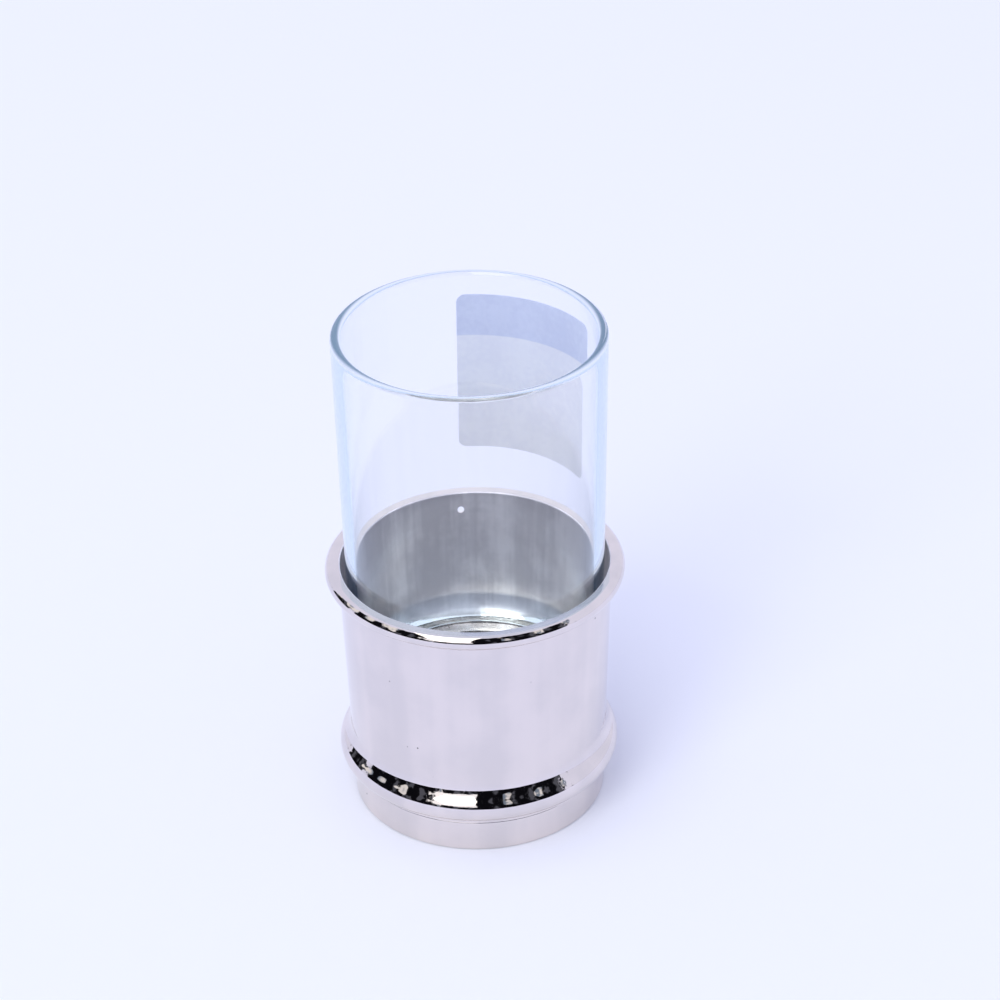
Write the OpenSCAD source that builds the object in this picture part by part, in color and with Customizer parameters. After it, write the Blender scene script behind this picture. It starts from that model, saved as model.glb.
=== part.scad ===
// Tea glass in a handle-less sheet metal holder.
// A straight tumbler stands on a raised seat in a tapered sleeve and lifts out upwards.
// Lengths are in mm. Z is up, the foot stands on z = 0, X is right and Y points away from the viewer.

/* [Glass tumbler] */
// Outside diameter of the glass wall just under the lip
glass_top_d = 53.6; // [50:0.1:60]
// Outside diameter of the glass wall at the base
glass_base_d = 50.8; // [46:0.1:53]
// Height of the glass from its base to its lip
glass_h = 89.1; // [75:0.1:110]
// Thickness of the glass wall at the lip
glass_wall_top = 1.7; // [1.2:0.1:3]
// Thickness of the glass wall just above the floor
glass_wall_base = 2; // [1.4:0.1:4]
// Thickness of the heavy glass base
glass_base_t = 10.8; // [5:0.1:16]
// Radius of the outer heel of the glass
glass_heel_r = 2.6; // [1:0.1:4]
// Radius of the corner between the inside wall and the floor
glass_floor_r = 5; // [2:0.1:8]
// How far the fire-polished lip swells past the wall on each side
glass_lip_swell = 0.12; // [0.05:0.01:0.3]
// Diameter of the shallow hollow under the base
glass_hollow_d = 38; // [30:0.5:42]
// Depth of the shallow hollow under the base
glass_hollow_h = 0.9; // [0.4:0.1:2]

/* [Paper label] */
// Width of the label as seen straight on
label_w = 31; // [15:0.1:40]
// Height of the label
label_h = 34.3; // [15:0.1:40]
// Thickness of the paper
label_t = 0.15; // [0.1:0.01:0.3]
// Layer of glue between the glass and the paper
label_glue = 0.06; // [0.04:0.01:0.1]
// Radius of the label corners
label_corner_r = 1.6; // [0.5:0.1:5]
// Distance from the lip of the glass down to the top of the label
label_drop = 5.5; // [3:0.1:12]
// Turn of the label to the right of the back of the glass, in degrees
label_turn = 30; // [0:1:360]

/* [Holder sleeve] */
// Height of the holder from the table to the top of its rolled rim
holder_h = 53.6; // [46:0.1:70]
// Thickness of the sheet that the sleeve is made of
sheet_t = 0.5; // [0.4:0.05:0.8]
// Gap all round between the glass and the sleeve at the seat
base_gap = 0.35; // [0.3:0.05:0.8]
// Gap all round between the glass and the sleeve at the mouth
mouth_gap = 1; // [0.6:0.05:1.6]
// How far the roll sits back from the inside face of the sleeve
roll_set = 0.03; // [0.02:0.01:0.1]
// How far the squared inner edge of the rim lies below the top of the roll
rim_edge_drop = 0.1; // [0.05:0.01:0.2]
// Radius of the squared inner edge of the rim
rim_edge_r = 0.3; // [0.15:0.05:0.5]
// Diameter of the small hole that the plating hook used
hook_hole_d = 1.5; // [1:0.1:2]
// Distance from the top of the rim down to the middle of the hook hole
hook_hole_drop = 4.1; // [4:0.1:8]
// Turn of the hook hole to the left of the back, in degrees
hook_hole_turn = 6; // [0:1:360]

/* [Rim wire] */
// Diameter of the wire that the rim is rolled over
wire_d = 2; // [1.4:0.1:2.4]
// Space left round the wire in the roll
wire_gap = 0.05; // [0.03:0.01:0.1]

/* [Seat plate] */
// Height of the seat that the glass stands on
seat_h = 15.7; // [14.8:0.1:24]
// Thickness of the seat plate
seat_t = 0.8; // [0.5:0.1:1.2]
// Gap for solder round the fixed pieces
solder_gap = 0.1; // [0.05:0.01:0.2]

/* [Bead ring] */
// Height of the middle of the half-round bead
bead_mid_h = 11; // [10.6:0.1:11.4]
// Radius of the round of the bead
bead_r = 3.2; // [2.6:0.1:3.6]
// How far the bead stands out from the sleeve
bead_out = 2.55; // [2:0.05:2.7]
// Thickness of the sheet that the hollow bead is made of
bead_t = 0.6; // [0.4:0.05:0.9]
// Clearance between the bead and the sleeve that it is slipped over
bead_gap = 0.05; // [0.03:0.01:0.1]

/* [Foot ring] */
// Height of the plain band at the foot
foot_band_h = 6.85; // [5.5:0.05:7.4]
// How far the band sits back from the outside of the sleeve
foot_inset = 0.14; // [0.05:0.01:0.3]
// Thickness of the spigot that stands up inside the sleeve
spigot_t = 1; // [0.7:0.1:1.6]
// Radius of the outer edge that stands on the table
foot_edge_r = 0.5; // [0.2:0.05:0.8]

/* [Solder fillets] */
// Height of the outer fillet above the middle of the bead
fillet_top_h = 5.5; // [4.6:0.1:6.5]
// Leg of the inner fillet under the seat
seat_fillet = 1.4; // [0.8:0.1:2]

/* [Hidden] */
$fn = 128;
glass_slope = (glass_top_d - glass_base_d) / (2 * glass_h);
lip_r = glass_wall_top / 2 + glass_lip_swell;
seat_in_r = glass_base_d / 2 + base_gap;
roll_r = wire_d / 2 + wire_gap + sheet_t;
roll_z = holder_h - roll_r;
mouth_in_r = glass_out_r(roll_z - seat_h) + mouth_gap;
sleeve_slope = (mouth_in_r - seat_in_r) / (roll_z - seat_h);
roll_mid_r = mouth_in_r + roll_r + roll_set;
rim_edge_h = holder_h - rim_edge_drop;
bead_mid_r = sleeve_out_r(bead_mid_h) + bead_out - bead_r;
foot_r = sleeve_out_r(foot_band_h) - foot_inset;
spigot_out_r = sleeve_in_r(foot_band_h) - solder_gap;
spigot_in_r = spigot_out_r - spigot_t;
seat_low_h = seat_h - seat_t;
seat_r = sleeve_in_r(seat_low_h) - solder_gap;

// Outside radius of the glass at a height above its own base
function glass_out_r(h) = glass_base_d / 2 + glass_slope * h;

// Inside and outside radius of the sleeve at a height above the table
function sleeve_in_r(z) = seat_in_r + sleeve_slope * (z - seat_h);
function sleeve_out_r(z) = sleeve_in_r(z) + sheet_t;

// Half section of a tapered solid with a rounded bottom corner, from z = 0 to z = tall
module tapered_half(base_r, top_r, tall, corner_r) {
    slope = (top_r - base_r) / tall;
    lean = sqrt(1 + slope * slope);
    corner_mid_r = base_r + slope * corner_r - corner_r * lean;
    corner_out_r = corner_mid_r + corner_r / lean;
    corner_out_h = corner_r - corner_r * slope / lean;
    polygon([[0, 0], [corner_mid_r, 0], [corner_out_r, corner_out_h], [top_r, tall], [0, tall]]);
    translate([corner_mid_r, corner_r])
        circle(corner_r);
}

// Half section of the tumbler, standing on its own base
module glass_half() {
    wall_top_h = glass_h - lip_r;
    lip_mid_r = glass_out_r(wall_top_h) - glass_wall_top / 2;
    hollow_round_r = (glass_hollow_d * glass_hollow_d / 4 + glass_hollow_h * glass_hollow_h) / (2 * glass_hollow_h);
    inner_base_r = glass_out_r(glass_base_t) - glass_wall_base;
    inner_top_r = glass_out_r(wall_top_h) - glass_wall_top;
    difference() {
        tapered_half(glass_base_d / 2, glass_out_r(wall_top_h), wall_top_h, glass_heel_r);
        translate([0, glass_base_t])
            tapered_half(inner_base_r, inner_top_r, wall_top_h - glass_base_t, glass_floor_r);
        translate([0, glass_hollow_h - hollow_round_r])
            circle(hollow_round_r);
    }
    translate([lip_mid_r, wall_top_h])
        circle(lip_r);
}

// Clear pressed tumbler with a heavy base
module glass_tumbler() {
    color([0.86, 0.94, 0.93, 0.35])
        translate([0, 0, seat_h])
            rotate_extrude()
                glass_half();
}

// Front outline of the label, with its middle at the origin
module label_outline() {
    straight_w = label_w - 2 * label_corner_r;
    straight_h = label_h - 2 * label_corner_r;
    square([label_w, straight_h], center = true);
    square([straight_w, label_h], center = true);
    for (side = [-1, 1])
        for (end = [-1, 1])
            translate([side * straight_w / 2, end * straight_h / 2])
                circle(label_corner_r);
}

// Paper label stuck on the outside of the glass, printed with no text
module glass_label() {
    top_h = glass_h - label_drop;
    low_h = top_h - label_h;
    reach = glass_top_d;
    top_r = glass_out_r(top_h) + label_glue;
    low_r = glass_out_r(low_h) + label_glue;
    color([0.72, 0.8, 0.9])
        translate([0, 0, seat_h])
            intersection() {
                rotate_extrude()
                    polygon([[low_r, low_h], [low_r + label_t, low_h], [top_r + label_t, top_h], [top_r, top_h]]);
                rotate([0, 0, -label_turn])
                    translate([0, 0, (top_h + low_h) / 2])
                        rotate([90, 0, 180])
                            linear_extrude(height = reach)
                                label_outline();
            }
}

// Half section of the sleeve with its rim rolled outwards over the wire and its inner edge pressed square
module sleeve_half() {
    edge_low_h = rim_edge_h - rim_edge_r;
    edge_low_r = sleeve_in_r(edge_low_h);
    difference() {
        union() {
            polygon([[sleeve_in_r(foot_band_h), foot_band_h], [sleeve_out_r(foot_band_h), foot_band_h],
                [sleeve_out_r(roll_z), roll_z], [roll_mid_r, roll_z], [roll_mid_r, rim_edge_h],
                [edge_low_r + rim_edge_r, rim_edge_h], [edge_low_r, edge_low_h]]);
            translate([edge_low_r + rim_edge_r, edge_low_h])
                circle(rim_edge_r);
            translate([roll_mid_r, roll_z])
                circle(roll_r);
        }
        translate([roll_mid_r, roll_z])
            circle(roll_r - sheet_t);
    }
}

// Tapered sleeve with a rolled rim and one small hole at the back
module holder_sleeve() {
    color([0.79, 0.76, 0.79])
        difference() {
            rotate_extrude()
                sleeve_half();
            rotate([0, 0, hook_hole_turn])
                translate([0, mouth_in_r, holder_h - hook_hole_drop])
                    rotate([90, 0, 0])
                        cylinder(h = 2 * roll_r, d = hook_hole_d, center = true);
        }
}

// Wire that stiffens the rolled rim
module rim_wire() {
    color([0.55, 0.55, 0.56])
        translate([0, 0, roll_z])
            rotate_extrude()
                translate([roll_mid_r, 0])
                    circle(wire_d / 2);
}

// Flat plate inside the sleeve that the glass stands on
module seat_plate() {
    color([0.68, 0.65, 0.63])
        translate([0, 0, seat_low_h])
            cylinder(h = seat_t, r = seat_r);
}

// Space taken up by the sleeve and all inside it, as a half section
module sleeve_filled_half(gap) {
    polygon([[0, 0], [sleeve_out_r(0) + gap, 0], [sleeve_out_r(holder_h) + gap, holder_h], [0, holder_h]]);
}

// Hollow half-round ring that covers the joint between sleeve and foot
module bead_ring() {
    color([0.79, 0.76, 0.79])
        rotate_extrude()
            difference() {
                translate([bead_mid_r, bead_mid_h])
                    circle(bead_r);
                translate([bead_mid_r, bead_mid_h])
                    circle(bead_r - bead_t);
                sleeve_filled_half(bead_gap);
            }
}

// Band at the foot with a spigot that the sleeve and the seat plate are soldered to
module foot_ring() {
    color([0.79, 0.76, 0.79])
        rotate_extrude() {
            polygon([[spigot_in_r, 0], [foot_r - foot_edge_r, 0], [foot_r, foot_edge_r], [foot_r, foot_band_h],
                [spigot_out_r, foot_band_h], [spigot_out_r, seat_low_h], [spigot_in_r, seat_low_h]]);
            translate([foot_r - foot_edge_r, foot_edge_r])
                circle(foot_edge_r);
        }
}

// Solder above the bead and under the edge of the seat plate
module solder_fillets() {
    fillet_low_h = bead_mid_h;
    fillet_high_h = bead_mid_h + fillet_top_h;
    color([0.74, 0.72, 0.74])
        rotate_extrude() {
            difference() {
                polygon([[sleeve_out_r(fillet_low_h), fillet_low_h],
                    [bead_mid_r + bead_r, fillet_low_h],
                    [sleeve_out_r(fillet_high_h) + bead_gap, fillet_high_h]]);
                translate([bead_mid_r, bead_mid_h])
                    circle(bead_r + bead_gap);
                sleeve_filled_half(bead_gap);
            }
            polygon([[spigot_in_r, seat_low_h], [spigot_in_r - seat_fillet, seat_low_h],
                [spigot_in_r, seat_low_h - seat_fillet]]);
        }
}

glass_tumbler();
glass_label();
holder_sleeve();
rim_wire();
seat_plate();
bead_ring();
foot_ring();
solder_fillets();
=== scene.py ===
# Tea glass in a nickel-plated holder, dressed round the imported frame.
# Lengths are in metres. Z is up, X is right and Y points away from the viewer.
import math
import bmesh
import bpy
from mathutils import Matrix, Quaternion, Vector


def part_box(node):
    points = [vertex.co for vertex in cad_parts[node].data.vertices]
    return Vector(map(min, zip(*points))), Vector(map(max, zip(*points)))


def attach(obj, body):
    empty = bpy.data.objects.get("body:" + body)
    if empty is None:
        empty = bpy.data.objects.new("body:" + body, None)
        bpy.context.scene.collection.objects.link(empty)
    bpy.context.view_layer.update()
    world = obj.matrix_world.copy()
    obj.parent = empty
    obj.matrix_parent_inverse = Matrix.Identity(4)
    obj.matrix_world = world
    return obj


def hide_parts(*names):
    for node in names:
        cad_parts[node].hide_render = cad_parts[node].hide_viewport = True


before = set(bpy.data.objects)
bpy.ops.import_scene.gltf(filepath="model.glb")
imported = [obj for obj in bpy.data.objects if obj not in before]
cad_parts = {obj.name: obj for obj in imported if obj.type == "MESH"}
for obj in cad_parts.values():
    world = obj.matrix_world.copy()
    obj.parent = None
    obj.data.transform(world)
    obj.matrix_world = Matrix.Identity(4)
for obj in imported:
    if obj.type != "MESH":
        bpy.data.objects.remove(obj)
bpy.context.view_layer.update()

# Foot ring
# The band that the holder stands on, turned from brass and nickel-plated. Its spigot stands up inside
# the sleeve and carries the seat plate, and all three are soldered together before plating.
foot_low, foot_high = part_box("foot_ring")
foot_r = foot_high.x
foot_top_h = foot_high.z
foot_band_h = 0.00685
foot_edge_r = 0.0005
foot_top_edge_r = 0.00035
spigot_out_r = 0.02535
spigot_in_r = 0.02435
foot_rough = 0.08
foot_wave_depth = 0.00002
foot_wave_size = 0.006
turn_count = 384
crease_angle = 40


class Wire:
    """A node socket that takes part in sums, and that adds other nodes to its tree."""

    def __init__(self, tree, socket=None):
        self.tree = tree
        self.socket = socket

    def node(self, kind, settings=None, values=None, output=0):
        """Add a node, set it up, then give its sockets their values or links."""
        made = self.tree.nodes.new(kind)
        for name, setting in (settings or {}).items():
            setattr(made, name, setting)
        for name, value in (values or {}).items():
            self.feed(value, made.inputs[name])
        return Wire(self.tree, made.outputs[output])

    def feed(self, value, socket):
        """Link a wire to a socket, or set the socket to a plain value."""
        if isinstance(value, Wire):
            self.tree.links.new(value.socket, socket)
        else:
            socket.default_value = value

    def maths(self, operation, first, second=0.0):
        """Add a Math node for one or two values."""
        return self.node("ShaderNodeMath", {"operation": operation}, {0: first, 1: second})

    def __add__(self, other):
        return self.maths("ADD", self, other)

    def __radd__(self, other):
        return self.maths("ADD", other, self)

    def __sub__(self, other):
        return self.maths("SUBTRACT", self, other)

    def __rsub__(self, other):
        return self.maths("SUBTRACT", other, self)

    def __mul__(self, other):
        return self.maths("MULTIPLY", self, other)

    def __rmul__(self, other):
        return self.maths("MULTIPLY", other, self)

    def step(self, start, end):
        """Goes smoothly from 0 at start to 1 at end."""
        settings = {"interpolation_type": "SMOOTHSTEP"}
        values = {"Value": self, "From Min": start, "From Max": end}
        return self.node("ShaderNodeMapRange", settings, values)

    def line(self, middle, half):
        """Is 1 where this value passes the middle, and 0 further than half from it."""
        return 1 - self.maths("ABSOLUTE", self - middle).step(0, half)

    def blend(self, first, second):
        """Mixes two colours by this value. Sockets 6 and 7 and output 2 are the node's colours."""
        return self.node("ShaderNodeMix", {"data_type": "RGBA"}, {0: self, 6: first, 7: second}, 2)


def arc(mid, radius, start, end, steps):
    """Points of (radius, height) round a middle, from one angle in degrees to another."""
    turns = [math.radians(start + (end - start) * i / steps) for i in range(steps + 1)]
    return [(mid[0] + radius * math.cos(a), mid[1] + radius * math.sin(a)) for a in turns]


def line(start, end, steps):
    """Points of (radius, height) evenly spaced after start, up to and including end."""
    shares = [(i + 1) / steps for i in range(steps)]
    return [(start[0] + (end[0] - start[0]) * s, start[1] + (end[1] - start[1]) * s) for s in shares]


def lathe(name, outlines, sharp_angle=crease_angle):
    """A piece turned about the Z axis from closed outlines of (radius, height) points."""
    made = bmesh.new()
    angles = [2 * math.pi * i / turn_count for i in range(turn_count)]
    for outline in outlines:
        rings = []
        for radius, height in outline:
            if radius == 0:
                rings.append([made.verts.new((0, 0, height))] * turn_count)
            else:
                places = [(radius * math.cos(a), radius * math.sin(a), height) for a in angles]
                rings.append([made.verts.new(place) for place in places])
        for ring, after in zip(rings, rings[1:] + rings[:1]):
            for i in range(turn_count):
                corners = [ring[i - 1], ring[i], after[i], after[i - 1]]
                corners = list(dict.fromkeys(corners))
                if len(corners) > 2:
                    made.faces.new(corners)
    bmesh.ops.recalc_face_normals(made, faces=made.faces)
    mesh = bpy.data.meshes.new(name)
    made.to_mesh(mesh)
    made.free()
    mesh.shade_smooth()
    mesh.set_sharp_from_angle(angle=math.radians(sharp_angle))
    piece = bpy.data.objects.new(name, mesh)
    bpy.context.scene.collection.objects.link(piece)
    return piece


def new_finish(name):
    """A material with one Principled shader, and a wire to its nodes."""
    finish = bpy.data.materials.new(name)
    finish.use_nodes = True
    return finish, finish.node_tree.nodes["Principled BSDF"], Wire(finish.node_tree)


def nickel_finish(name, base_rough, wave_depth, wave_size):
    """Polished nickel plate: clouds, upright bands of painted reflection, buffing lines, hair scratches
    and rare pits.
    """
    bright_tone = (0.815, 0.75, 0.72, 1)
    # The darker tone is both real smudged cloud and the dim side of the painted reflection bands.
    cloud_and_dim_reflection_tone = (0.735, 0.685, 0.665, 1)
    pit_tone = (0.1, 0.085, 0.08, 1)
    upright_stretch = (1, 1, 0.05)
    around_stretch = (0.04, 0.04, 1)
    slanted_stretch = (1, 1, 0.2)
    slanted_turn = (0.5, 0.3, 0)
    score_depth = 0.00002
    finish, shader, wire = new_finish(name)
    place = wire.node("ShaderNodeTexCoord", output="Object")
    upright = wire.node("ShaderNodeMapping", None, {"Vector": place, "Scale": upright_stretch})
    around = wire.node("ShaderNodeMapping", None, {"Vector": place, "Scale": around_stretch})
    slanting = {"Vector": place, "Rotation": slanted_turn, "Scale": slanted_stretch}
    slanted = wire.node("ShaderNodeMapping", None, slanting)
    cloud = wire.node("ShaderNodeTexNoise", None, {"Vector": place, "Scale": 75, "Detail": 5})
    # Painted reflection: upright lighter and darker bands stand in for the mirrored floor as a wavy sheet
    # shows it.
    reflection_band = wire.node("ShaderNodeTexNoise", None, {"Vector": upright, "Scale": 150, "Detail": 2})
    rub_grain = {"Vector": place, "Scale": 240, "Detail": 6, "Roughness": 0.65}
    rub = wire.node("ShaderNodeTexNoise", None, rub_grain)
    buff = wire.node("ShaderNodeTexNoise", None, {"Vector": around, "Scale": 5200, "Detail": 3})
    hair = wire.node("ShaderNodeTexNoise", None, {"Vector": slanted, "Scale": 210, "Detail": 1})
    worn = wire.node("ShaderNodeTexNoise", None, {"Vector": place, "Scale": 320, "Detail": 2})
    pit = wire.node("ShaderNodeTexVoronoi", None, {"Vector": place, "Scale": 170})
    wave = wire.node("ShaderNodeTexNoise", None, {"Vector": place, "Scale": 1 / wave_size, "Detail": 2})
    scratch = hair.line(0.5, 0.006) * worn.step(0.52, 0.6)
    pitted = 1 - pit.step(0.022, 0.04)
    # The tone mixes real smudged clouds with painted reflection bands.
    tone = (0.5 * cloud + 0.5 * reflection_band).step(0.38, 0.62).blend(bright_tone, cloud_and_dim_reflection_tone)
    tone = pitted.blend(tone, pit_tone)
    rough = base_rough + 0.05 * rub.step(0.45, 0.75) + 0.03 * buff.step(0.5, 0.8) + 0.12 * scratch
    planish = wire.node("ShaderNodeBump", None, {"Strength": 1, "Distance": wave_depth, "Height": wave})
    scoring = buff - scratch - pitted
    scored = {"Strength": 0.1, "Distance": score_depth, "Height": scoring, "Normal": planish}
    bump = wire.node("ShaderNodeBump", None, scored)
    shader.inputs["Metallic"].default_value = 1
    wire.feed(tone, shader.inputs["Base Color"])
    wire.feed(rough, shader.inputs["Roughness"])
    wire.feed(bump, shader.inputs["Normal"])
    return finish


foot_edge_mid = (foot_r - foot_edge_r, foot_edge_r)
foot_top_edge_mid = (foot_r - foot_top_edge_r, foot_band_h - foot_top_edge_r)
foot_outline = [(spigot_in_r, foot_low.z)]
foot_outline += line(foot_outline[-1], (foot_edge_mid[0], foot_low.z), steps=3)
foot_outline += arc(foot_edge_mid, foot_edge_r, start=-90, end=0, steps=8)[1:]
foot_outline += line(foot_outline[-1], (foot_r, foot_top_edge_mid[1]), steps=12)
foot_outline += arc(foot_top_edge_mid, foot_top_edge_r, start=0, end=90, steps=6)[1:]
foot_outline += line(foot_outline[-1], (spigot_out_r, foot_band_h), steps=2)
foot_outline += line(foot_outline[-1], (spigot_out_r, foot_top_h), steps=8)
foot_outline += line(foot_outline[-1], (spigot_in_r, foot_top_h), steps=2)
foot_outline += line(foot_outline[-1], (spigot_in_r, foot_low.z), steps=16)[:-1]
foot = lathe("foot", [foot_outline])
foot_nickel = nickel_finish("foot_nickel", foot_rough, foot_wave_depth, foot_wave_size)
foot.data.materials.append(foot_nickel)
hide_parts("foot_ring")
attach(foot, "holder")

# Seat plate
# The raised floor that the glass stands on, a disc cut from sheet and soldered on top of the spigot.
# It was plated but never polished, so it is dull and stained.
seat_low, seat_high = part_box("seat_plate")
seat_r = seat_high.x
seat_bevel = 0.00015
seat_bright_tone = (0.92, 0.86, 0.82, 1)
seat_dull_tone = (0.7, 0.63, 0.58, 1)
seat_rough = 0.24
seat_outline = [(0, seat_low.z)]
seat_outline += line(seat_outline[-1], (seat_r, seat_low.z), steps=16)
seat_outline += line(seat_outline[-1], (seat_r, seat_high.z - seat_bevel), steps=2)
seat_outline += line(seat_outline[-1], (seat_r - seat_bevel, seat_high.z), steps=2)
seat_outline += line(seat_outline[-1], (0, seat_high.z), steps=16)
seat = lathe("seat", [seat_outline])


def satin_finish(name, bright_tone, dull_tone, base_rough):
    """Unpolished metal with blurred stains and upright drawing streaks."""
    upright_stretch = (1, 1, 0.04)
    around_stretch = (0.2, 0.2, 1)
    drawn_depth = 0.00002
    finish, shader, wire = new_finish(name)
    place = wire.node("ShaderNodeTexCoord", output="Object")
    upright = wire.node("ShaderNodeMapping", None, {"Vector": place, "Scale": upright_stretch})
    around = wire.node("ShaderNodeMapping", None, {"Vector": place, "Scale": around_stretch})
    stain_grain = {"Vector": place, "Scale": 140, "Detail": 6, "Roughness": 0.6}
    stain = wire.node("ShaderNodeTexNoise", None, stain_grain)
    streak_grain = {"Vector": upright, "Scale": 120, "Detail": 6, "Roughness": 0.6}
    streak = wire.node("ShaderNodeTexNoise", None, streak_grain)
    drawn = wire.node("ShaderNodeTexNoise", None, {"Vector": upright, "Scale": 1500, "Detail": 3})
    mark = wire.node("ShaderNodeTexNoise", None, {"Vector": around, "Scale": 700, "Detail": 3})
    tone = (0.3 * stain + 0.7 * streak).step(0.42, 0.58).blend(bright_tone, dull_tone)
    rough = base_rough + 0.04 * drawn.step(0.35, 0.7) + 0.06 * mark.step(0.5, 0.8)
    bump = wire.node("ShaderNodeBump", None, {"Strength": 0.1, "Distance": drawn_depth, "Height": drawn})
    shader.inputs["Metallic"].default_value = 0.8
    wire.feed(tone, shader.inputs["Base Color"])
    wire.feed(rough, shader.inputs["Roughness"])
    wire.feed(bump, shader.inputs["Normal"])
    return finish


seat_nickel = satin_finish("seat_nickel", seat_bright_tone, seat_dull_tone, seat_rough)
seat.data.materials.append(seat_nickel)
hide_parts("seat_plate")
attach(seat, "holder")

# Sleeve
# A tapered tube of thin brass sheet whose top edge is rolled outwards over a wire, with the inner edge
# pressed square. The outside is polished, the inside is left satin, and a small hole at the back is
# where it hung while it was plated.
sleeve_low, sleeve_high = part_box("holder_sleeve")
sheet_t = 0.0005
roll_r = 0.00155
roll_mid = (sleeve_high.x - roll_r, sleeve_high.z - roll_r)
roll_end_angle = -124
roll_root_angle = 190
mouth_in_r = 0.02697
edge_in_r = 0.02701
edge_round_r = 0.0003
edge_drop = 0.0001
sleeve_low_in_r = 0.02545
hook_hole_r = 0.00075
hook_hole_h = 0.0495
hook_hole_turn = 6
hook_hole_sides = 48
sleeve_rough = 0.03
sleeve_wave_depth = 0.00002
sleeve_wave_size = 0.007
inside_bright_tone = (0.97, 0.925, 0.945, 1)
inside_dull_tone = (0.68, 0.64, 0.665, 1)
inside_rough = 0.3
sleeve_low_in = (sleeve_low_in_r, sleeve_low.z)
sleeve_low_out = (sleeve_low_in_r + sheet_t, sleeve_low.z)
edge_mid = (edge_in_r + edge_round_r, sleeve_high.z - edge_drop - edge_round_r)
edge_away = math.dist(edge_mid, roll_mid)
edge_way = math.degrees(math.atan2(roll_mid[1] - edge_mid[1], roll_mid[0] - edge_mid[0]))
edge_end_angle = edge_way + math.degrees(math.acos((edge_round_r - roll_r) / edge_away))
edge_round = arc(edge_mid, edge_round_r, start=180, end=edge_end_angle, steps=8)
roll_outside = arc(roll_mid, roll_r, start=edge_end_angle, end=roll_end_angle, steps=64)
roll_inside = arc(roll_mid, roll_r - sheet_t, start=roll_end_angle, end=roll_root_angle, steps=64)
sleeve_outline = [sleeve_low_in]
sleeve_outline += line(sleeve_low_in, edge_round[0], steps=24)
sleeve_outline += edge_round[1:]
sleeve_outline += roll_outside
sleeve_outline += roll_inside
sleeve_outline += line(roll_inside[-1], (mouth_in_r + sheet_t, roll_mid[1] - roll_r / 2), steps=3)
sleeve_outline += line(sleeve_outline[-1], sleeve_low_out, steps=24)
sleeve = lathe("sleeve", [sleeve_outline])
sleeve_nickel = nickel_finish("sleeve_nickel", sleeve_rough, sleeve_wave_depth, sleeve_wave_size)
sleeve.data.materials.append(sleeve_nickel)
sleeve_inside = satin_finish("sleeve_inside", inside_bright_tone, inside_dull_tone, inside_rough)
sleeve.data.materials.append(sleeve_inside)
for face in sleeve.data.polygons:
    middle = Vector((face.center.x, face.center.y, 0))
    if face.normal.dot(middle) < 0 and middle.length < edge_mid[0]:
        face.material_index = 1
drill_made = bmesh.new()
drill_place = Matrix.Rotation(math.radians(hook_hole_turn), 4, "Z")
drill_place @= Matrix.Translation((0, mouth_in_r, hook_hole_h))
drill_place @= Matrix.Rotation(math.radians(90), 4, "X")
drill_size = {"radius1": hook_hole_r, "radius2": hook_hole_r, "depth": 2 * roll_r}
drill_form = {"cap_ends": True, "segments": hook_hole_sides, "matrix": drill_place}
bmesh.ops.create_cone(drill_made, **drill_form, **drill_size)
drill_mesh = bpy.data.meshes.new("drill")
drill_made.to_mesh(drill_mesh)
drill_made.free()
drill = bpy.data.objects.new("drill", drill_mesh)
bpy.context.scene.collection.objects.link(drill)
drilling = sleeve.modifiers.new("drilling", "BOOLEAN")
drilling.operation = "DIFFERENCE"
drilling.object = drill
drilled = sleeve.evaluated_get(bpy.context.evaluated_depsgraph_get())
drilled_mesh = bpy.data.meshes.new_from_object(drilled)
sleeve.modifiers.remove(drilling)
sleeve.data = drilled_mesh
bpy.data.objects.remove(drill)
drilled_mesh.shade_smooth()
drilled_mesh.set_sharp_from_angle(angle=math.radians(crease_angle))
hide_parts("holder_sleeve")
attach(sleeve, "holder")

# Rim wire
# Plain drawn iron wire bent to a ring. The rolled rim closes round it, so none of it shows.
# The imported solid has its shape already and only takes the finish.
iron_bright_tone = (0.5, 0.5, 0.51, 1)
iron_dull_tone = (0.36, 0.33, 0.31, 1)
iron_rough = 0.4
wire_iron = satin_finish("wire_iron", iron_bright_tone, iron_dull_tone, iron_rough)
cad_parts["rim_wire"].material_slots[0].material = wire_iron

# Bead ring
# A hollow half-round ring, rolled from sheet and slipped over the sleeve above the foot.
# It covers the joint and is polished with the rest.
bead_low, bead_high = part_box("bead_ring")
bead_r = 0.0032
bead_t = 0.0006
bead_mid = (bead_high.x - bead_r, (bead_low.z + bead_high.z) / 2)
bead_half_angle = 77
bead_in_half_angle = 75
bead_rough = 0.02
bead_wave_depth = 0.00003
bead_wave_size = 0.005
bead_outline = arc(bead_mid, bead_r, start=-bead_half_angle, end=bead_half_angle, steps=64)
bead_outline += arc(bead_mid, bead_r - bead_t, start=bead_in_half_angle, end=-bead_in_half_angle, steps=32)
bead = lathe("bead", [bead_outline])
bead_nickel = nickel_finish("bead_nickel", bead_rough, bead_wave_depth, bead_wave_size)
bead.data.materials.append(bead_nickel)
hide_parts("bead_ring")
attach(bead, "holder")

# Solder fillets
# Soft solder that fills the corner above the bead, scraped to a smooth sweep and plated over,
# and a plain fillet under the edge of the seat plate.
solder_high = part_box("solder_fillets")[1]
fillet_r = 0.0045
seat_fillet = 0.0014
sleeve_spread = mouth_in_r + sheet_t - sleeve_low_out[0]
sleeve_rise = roll_mid[1] - sleeve_low.z
sleeve_lean = math.atan(sleeve_spread / sleeve_rise)


def sleeve_out_r(height):
    """Outside radius of the sleeve at a height."""
    return sleeve_low_out[0] + sleeve_spread * (height - sleeve_low.z) / sleeve_rise


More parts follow.
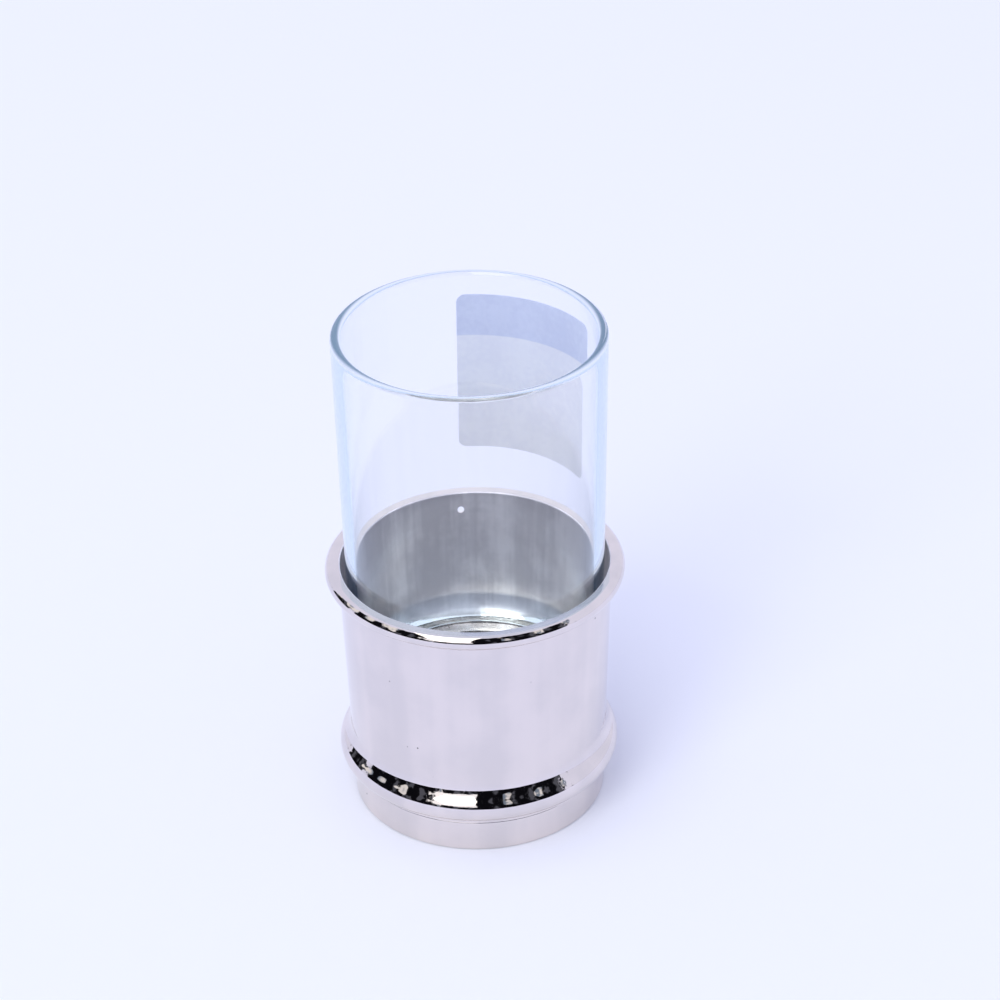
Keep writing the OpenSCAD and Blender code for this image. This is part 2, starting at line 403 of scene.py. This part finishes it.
fillet_mid_r = sleeve_out_r(solder_high.z) + fillet_r / math.cos(sleeve_lean)
fillet_rise = math.sqrt((bead_r + fillet_r) ** 2 - (fillet_mid_r - bead_mid[0]) ** 2)
fillet_mid = (fillet_mid_r, bead_mid[1] + fillet_rise)
fillet_touch_angle = math.degrees(math.atan2(fillet_rise, fillet_mid_r - bead_mid[0]))
fillet_top_angle = 180 - math.degrees(sleeve_lean)
fillet_outline = arc(fillet_mid, fillet_r, start=fillet_top_angle, end=180 + fillet_touch_angle, steps=40)
fillet_outline += arc(bead_mid, bead_r, start=fillet_touch_angle, end=bead_half_angle, steps=12)[1:]
fillet_outline += [(sleeve_out_r(fillet_outline[-1][1]), fillet_outline[-1][1])]
seat_fillet_mid = (spigot_in_r - seat_fillet, foot_top_h - seat_fillet)
seat_fillet_outline = [(spigot_in_r, foot_top_h)]
seat_fillet_outline += arc(seat_fillet_mid, seat_fillet, start=90, end=0, steps=12)
fillets = lathe("solder", [fillet_outline, seat_fillet_outline])
solder_nickel = nickel_finish("solder_nickel", bead_rough, bead_wave_depth, bead_wave_size)
fillets.data.materials.append(solder_nickel)
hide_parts("solder_fillets")
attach(fillets, "holder")

# Glass tumbler
# Clear pressed soda glass with a heavy base and a fire-polished lip. It stands loose on the seat
# plate, and its hollowed underside touches the plate only near the heel.
glass_low, glass_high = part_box("glass_tumbler")
glass_top_r = 0.0268
glass_base_r = 0.0254
glass_wall_top = 0.0017
glass_wall_base = 0.002
glass_base_t = 0.0108
glass_heel_r = 0.0026
glass_floor_r = 0.005
glass_lip_r = 0.00097
glass_hollow_r = 0.019
glass_hollow_h = 0.0009
glass_hollow_steps = 24
glass_h = glass_high.z - glass_low.z


def glass_out_r(height):
    """Outside radius of the glass at a height above its base."""
    return glass_base_r + (glass_top_r - glass_base_r) * height / glass_h


lip_mid = (glass_out_r(glass_h - glass_lip_r) - glass_wall_top / 2, glass_h - glass_lip_r)
heel_mid = (glass_base_r - glass_heel_r, glass_heel_r)
floor_mid_r = glass_out_r(glass_base_t) - glass_wall_base - glass_floor_r
floor_mid = (floor_mid_r, glass_base_t + glass_floor_r)
glass_outline = [(0, glass_hollow_h)]
for i in range(1, glass_hollow_steps + 1):
    share = i / glass_hollow_steps
    glass_outline.append((glass_hollow_r * share, glass_hollow_h * (1 - share ** 2)))
glass_outline += line(glass_outline[-1], (heel_mid[0], 0), steps=4)
glass_outline += arc(heel_mid, glass_heel_r, start=-90, end=0, steps=24)[1:]
glass_outline += line(glass_outline[-1], (lip_mid[0] + glass_lip_r, lip_mid[1]), steps=32)
glass_outline += arc(lip_mid, glass_lip_r, start=0, end=180, steps=40)[1:]
glass_outline += line(glass_outline[-1], (floor_mid[0] + glass_floor_r, floor_mid[1]), steps=32)
glass_outline += arc(floor_mid, glass_floor_r, start=0, end=-90, steps=32)[1:]
glass_outline += line(glass_outline[-1], (0, glass_base_t), steps=24)
standing_outline = [(radius, glass_low.z + height) for radius, height in glass_outline]
glass = lathe("glass", [standing_outline], sharp_angle=180)
glass_clear, glass_shader, glass_wire = new_finish("clear_glass")
glass_shader.inputs["Base Color"].default_value = (1, 1, 1, 1)
glass_shader.inputs["Roughness"].default_value = 0
glass_shader.inputs["IOR"].default_value = 1.46
glass_shader.inputs["Transmission Weight"].default_value = 1
glass_core = Wire(glass_wire.tree, glass_shader.outputs["BSDF"])
# Light that total reflection keeps inside the wall would end black after a few bounces. So it leaks
# straight out, tinted by its slant to the wall, and light from the lamps goes straight through.
edge_tint = (0.7, 0.81, 0.87, 1)
across_tint = (0.91, 0.95, 0.965, 1)
along_tint = (0.2, 0.31, 0.38, 1)
clear_tint = (0.955, 0.977, 0.981, 1)
shade_tint = (0.985, 0.992, 0.992, 1)
body_tint = (0.3, 0.7, 0.76, 1)
body_density = 5
glass_edge = glass_wire.node("ShaderNodeBsdfTransparent", None, {"Color": edge_tint})
glass_across = glass_wire.node("ShaderNodeBsdfTransparent", None, {"Color": across_tint})
glass_along = glass_wire.node("ShaderNodeBsdfTransparent", None, {"Color": along_tint})
glass_clear_way = glass_wire.node("ShaderNodeBsdfTransparent", None, {"Color": clear_tint})
glass_shade = glass_wire.node("ShaderNodeBsdfTransparent", None, {"Color": shade_tint})
glass_place = glass_wire.node("ShaderNodeTexCoord", output="Object")
flattening = {0: glass_place, 1: (1, 1, 0)}
flat_place = glass_wire.node("ShaderNodeVectorMath", {"operation": "MULTIPLY"}, flattening)
place_r = glass_wire.node("ShaderNodeVectorMath", {"operation": "LENGTH"}, {0: flat_place}, "Value")
place_h = glass_wire.node("ShaderNodeSeparateXYZ", None, {"Vector": glass_place}, "Z")
wall_lean = (glass_top_r - glass_base_r) / glass_h
wall_mid_r = lip_mid[0] - wall_lean * (lip_mid[1] + glass_low.z)
outside = (place_r - wall_lean * place_h).step(wall_mid_r, wall_mid_r + glass_lip_r / 4)
from_inside = glass_wire.node("ShaderNodeNewGeometry", output="Backfacing")
slant = glass_wire.node("ShaderNodeLayerWeight", None, {"Blend": 0.5}, "Facing")
bounces = glass_wire.node("ShaderNodeLightPath", output="Glossy Depth")
passes = glass_wire.node("ShaderNodeLightPath", output="Transmission Depth")
guided = passes.line(1, 0.5)
bounced = (bounces - passes.step(1.9, 2)).step(0.9, 1)
held_in = guided * outside * from_inside * slant.step(0.26, 0.28)
leaking = glass_wire.maths("MAXIMUM", bounced, held_in)
from_lamp = glass_wire.node("ShaderNodeLightPath", output="Is Shadow Ray")
wall_mix = {0: slant.step(0.28, 0.38), 1: glass_edge, 2: glass_across}
glass_wall = glass_wire.node("ShaderNodeMixShader", None, wall_mix)
guided_mix = {0: slant.step(0.4, 0.72), 1: glass_wall, 2: glass_along}
glass_guided = glass_wire.node("ShaderNodeMixShader", None, guided_mix)
leak_mix = {0: guided, 1: glass_clear_way, 2: glass_guided}
glass_leak = glass_wire.node("ShaderNodeMixShader", None, leak_mix)
glass_seen = glass_wire.node("ShaderNodeMixShader", None, {0: leaking, 1: glass_core, 2: glass_leak})
glass_lit = glass_wire.node("ShaderNodeMixShader", None, {0: from_lamp, 1: glass_seen, 2: glass_shade})
tinting = {"Color": body_tint, "Density": body_density}
glass_tint = glass_wire.node("ShaderNodeVolumeAbsorption", None, tinting)
glass_out = glass_wire.tree.nodes["Material Output"]
glass_wire.feed(glass_lit, glass_out.inputs["Surface"])
glass_wire.feed(glass_tint, glass_out.inputs["Volume"])
glass.data.materials.append(glass_clear)
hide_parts("glass_tumbler")
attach(glass, "glass")

# Label
# A thin coated paper label glued to the outside of the glass at the back. It is blank but for
# a plain blue band along the top.
label_low, label_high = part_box("glass_label")
label_w = 0.031
label_h = 0.0343
label_t = 0.00015
label_glue = 0.00006
label_corner_r = 0.0016
label_turn = 30
label_band_h = 0.0091
label_across = 64
label_up = 72
paper_dull_tone = (0.89, 0.89, 0.97, 1)
paper_bright_tone = (0.94, 0.94, 1, 1)
band_dull_tone = (0.68, 0.72, 0.9, 1)
band_bright_tone = (0.73, 0.77, 0.94, 1)


def label_half_w(height):
    """Half the width of the label at a height above its lower edge, rounded at the corners."""
    into_corner = max(0, label_corner_r - min(height, label_h - height))
    return label_w / 2 - label_corner_r + math.sqrt(label_corner_r ** 2 - into_corner ** 2)


label_made = bmesh.new()
shares_across = [2 * i / label_across - 1 for i in range(label_across + 1)]
skins = []
for lift in (label_glue, label_glue + label_t):
    rows = []
    for j in range(label_up + 1):
        height = label_h * (1 - math.cos(math.pi * j / label_up)) / 2
        radius = glass_out_r(label_low.z - glass_low.z + height) + lift
        half_angle = math.asin(label_half_w(height) / radius)
        turns = [math.radians(label_turn) + half_angle * s for s in shares_across]
        z = label_low.z + height
        rows.append([label_made.verts.new((radius * math.sin(a), radius * math.cos(a), z)) for a in turns])
    skins.append(rows)
for rows in skins:
    for row, above in zip(rows, rows[1:]):
        for i in range(label_across):
            label_made.faces.new([row[i], row[i + 1], above[i + 1], above[i]])
inner, outer = skins
for row, after in ((inner[0], outer[0]), (inner[-1], outer[-1])):
    for i in range(label_across):
        label_made.faces.new([row[i], row[i + 1], after[i + 1], after[i]])
for side in (0, -1):
    for j in range(label_up):
        label_made.faces.new([inner[j][side], inner[j + 1][side], outer[j + 1][side], outer[j][side]])
bmesh.ops.recalc_face_normals(label_made, faces=label_made.faces)
label_mesh = bpy.data.meshes.new("label")
label_made.to_mesh(label_mesh)
label_made.free()
label_mesh.shade_smooth()
label_mesh.set_sharp_from_angle(angle=math.radians(crease_angle))
label = bpy.data.objects.new("label", label_mesh)
bpy.context.scene.collection.objects.link(label)
label_paper, label_shader, label_wire = new_finish("label_paper")
label_place = label_wire.node("ShaderNodeTexCoord", output="Object")
label_height = label_wire.node("ShaderNodeSeparateXYZ", None, {"Vector": label_place}, "Z")
band_low = label_high.z - label_band_h
banded = label_height.step(band_low - label_t, band_low + label_t)
fibre = label_wire.node("ShaderNodeTexNoise", None, {"Vector": label_place, "Scale": 900, "Detail": 5})
gluing = label_wire.node("ShaderNodeTexNoise", None, {"Vector": label_place, "Scale": 140, "Detail": 3})
mottle = (0.5 * fibre + 0.5 * gluing).step(0.4, 0.62)
paper_tone = mottle.blend(paper_dull_tone, paper_bright_tone)
band_tone = mottle.blend(band_dull_tone, band_bright_tone)
label_wire.feed(banded.blend(paper_tone, band_tone), label_shader.inputs["Base Color"])
label_shader.inputs["Roughness"].default_value = 0.5
label.data.materials.append(label_paper)
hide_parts("glass_label")
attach(label, "glass")

# Floor
# A plain pale sheet that the object stands on. It is matt, takes the object's shadow and runs on past
# the edges of the picture.
floor_half = 4
floor_corners = [(x * floor_half, y * floor_half, 0) for x, y in ((-1, -1), (1, -1), (1, 1), (-1, 1))]
floor_mesh = bpy.data.meshes.new("floor")
floor_mesh.from_pydata(floor_corners, [], [(0, 1, 2, 3)])
floor = bpy.data.objects.new("floor", floor_mesh)
bpy.context.scene.collection.objects.link(floor)
floor_paint, floor_shader = new_finish("floor_paint")[:2]
floor_shader.inputs["Base Color"].default_value = (0.9, 0.93, 0.94, 1)
floor_shader.inputs["Roughness"].default_value = 0.9
floor_shader.inputs["Specular IOR Level"].default_value = 0
floor_mesh.materials.append(floor_paint)

# Room
# A white tent of cloth round the object, with ragged gaps at the front and the left. What the metal and
# the glass mirror has the gaps in it, and behind them a dark room with pale things and a window.
# Past the object and through the glass, the tent is plain white. Turns are in radians.
sky_light_tone = (0.67, 0.68, 0.96, 1)
backdrop_tone = (1.03, 1.07, 1.25, 1)
cloth_tone = (0.84, 0.86, 1.06, 1)
dark_tone = (0.004, 0.004, 0.006, 1)
dim_tone = (0.09, 0.095, 0.12, 1)
grey_thing_tone = (0.2, 0.25, 0.33, 1)
pale_thing_tone = (0.92, 0.9, 0.9, 1)
window_tone = (1.2, 1.2, 1.25, 1)
unroll_back = 0.86
unroll_squash = 0.07
front_half = 0.8
front_left = 0.13
front_top = 0.95
front_slope = 0.6
left_half = 0.2
left_turn = 2
left_top = 0.65
gap_raggedness = 0.4
things_up_high = 0.13
window_half = 0.17
window_left = 0.19
window_sill = 0.3
window_raggedness = 0.3
world = bpy.data.worlds.new("studio")
bpy.context.scene.world = world
world.use_nodes = True
sky = Wire(world.node_tree)
way = sky.node("ShaderNodeTexCoord", output="Generated")
way_x = sky.node("ShaderNodeSeparateXYZ", None, {"Vector": way}, "X")
way_y = sky.node("ShaderNodeSeparateXYZ", None, {"Vector": way}, "Y")
way_z = sky.node("ShaderNodeSeparateXYZ", None, {"Vector": way}, "Z")
heading = sky.maths("ARCTAN2", way_x, 0 - way_y)
around = sky.maths("ARCTAN2", way_x, unroll_back - way_y)
unrolled = sky.node("ShaderNodeCombineXYZ", None, {"X": around, "Y": unroll_squash * way_z})
clutter_grain = {"Vector": unrolled, "Scale": 16, "Detail": 5, "Roughness": 0.65}
clutter = sky.node("ShaderNodeTexNoise", None, clutter_grain)
things_grain = {"Vector": unrolled, "Scale": 8, "Detail": 2, "Roughness": 0.5}
things = sky.node("ShaderNodeTexNoise", None, things_grain)
walls = sky.node("ShaderNodeTexNoise", None, {"Vector": unrolled, "Scale": 14, "Detail": 3})
ragged = clutter - 0.5
front_side = front_half - sky.maths("ABSOLUTE", around + front_left)
front_room = sky.maths("MINIMUM", front_side, front_top - way_z - front_slope * way_y)
front_gap = front_room + gap_raggedness * ragged
left_side = left_half - sky.maths("ABSOLUTE", heading + left_turn)
left_gap = sky.maths("MINIMUM", left_side, left_top - way_z) + gap_raggedness * ragged
gap = sky.maths("MAXIMUM", front_gap, left_gap).step(0, 0.02)
wall_tone = walls.step(0.54, 0.6).blend(dark_tone, dim_tone)
thing_tone = walls.step(0.42, 0.54).blend(grey_thing_tone, pale_thing_tone)
crowd = things + things_up_high * way_z.step(0.2, 0.5)
filled_tone = crowd.step(0.65, 0.67).blend(wall_tone, thing_tone)
window_side = window_half - sky.maths("ABSOLUTE", around + window_left)
window = sky.maths("MINIMUM", window_side, way_z - window_sill) + window_raggedness * ragged
room_tone = window.step(0, 0.03).blend(filled_tone, window_tone)
tent_tone = gap.blend(cloth_tone, room_tone)
mirror_depth = sky.node("ShaderNodeLightPath", output="Glossy Depth")
glass_depth = sky.node("ShaderNodeLightPath", output="Transmission Depth")
matt_depth = sky.node("ShaderNodeLightPath", output="Diffuse Depth")
mirrored = mirror_depth.step(0, 1) * (1 - glass_depth.step(0, 1)) * (1 - matt_depth.step(0, 1))
shown_tone = mirrored.blend(backdrop_tone, tent_tone)
by_camera = sky.node("ShaderNodeLightPath", output="Is Camera Ray")
by_gloss = sky.node("ShaderNodeLightPath", output="Is Glossy Ray")
by_glass = sky.node("ShaderNodeLightPath", output="Is Transmission Ray")
shown = sky.maths("MAXIMUM", sky.maths("MAXIMUM", by_camera, by_gloss), by_glass)
background = world.node_tree.nodes["Background"]
sky.feed(shown.blend(sky_light_tone, shown_tone), background.inputs["Color"])
background.inputs["Strength"].default_value = 1

# Lamps
# A tall soft box high at the front left, which also shows in the metal, and a small one below it
# that only fills. Neither shows through the glass.
lamp_tone = (1, 0.99, 0.94)


def soft_box(name, azimuth, elevation, spin, distance, wide, tall, power, in_metal):
    """A lamp that faces the object, its azimuth counted to the right from the viewer's side."""
    lamp = bpy.data.lights.new(name, "AREA")
    lamp.shape = "RECTANGLE"
    lamp.size = wide
    lamp.size_y = tall
    lamp.energy = power
    lamp.color = lamp_tone
    turn = math.radians(azimuth)
    tilt = math.radians(elevation)
    back = Vector((math.sin(turn) * math.cos(tilt), -math.cos(turn) * math.cos(tilt), math.sin(tilt)))
    box = bpy.data.objects.new(name, lamp)
    box.location = back * distance
    box.rotation_mode = "QUATERNION"
    box.rotation_quaternion = back.to_track_quat("Z", "Y") @ Quaternion((0, 0, 1), math.radians(spin))
    box.visible_transmission = False
    box.visible_glossy = in_metal
    bpy.context.scene.collection.objects.link(box)


key_place = {"azimuth": -30, "elevation": 60, "spin": 20, "distance": 5}
key_face = {"wide": 2.3, "tall": 6.5, "power": 82, "in_metal": True}
fill_place = {"azimuth": -36, "elevation": 34, "spin": 0, "distance": 4}
fill_face = {"wide": 1.5, "tall": 1.5, "power": 25, "in_metal": False}
soft_box("key_light", **key_place, **key_face)
soft_box("fill_light", **fill_place, **fill_face)

# Camera
# Stands where the photograph was taken from, above the object and looking down at it.
# Its lens and sensor are in millimetres and its turns in radians.
camera_sensor = 36
camera_lens = 115.38
camera_place = Vector((0, -0.54512, 0.39353))
camera_pitch = 0.5399
camera_yaw = 0.0097
camera_roll = -0.0196
camera_data = bpy.data.cameras.new("camera")
camera_data.sensor_width = camera_sensor
camera_data.lens = camera_lens
camera = bpy.data.objects.new("camera", camera_data)
turned = Matrix.Rotation(-camera_yaw, 4, "Z")
tipped = Matrix.Rotation(math.pi / 2 - camera_pitch, 4, "X")
rolled = Matrix.Rotation(camera_roll, 4, "Z")
camera.matrix_world = Matrix.Translation(camera_place) @ turned @ tipped @ rolled
bpy.context.scene.collection.objects.link(camera)
bpy.context.scene.camera = camera
bpy.context.scene.view_settings.view_transform = "Standard"
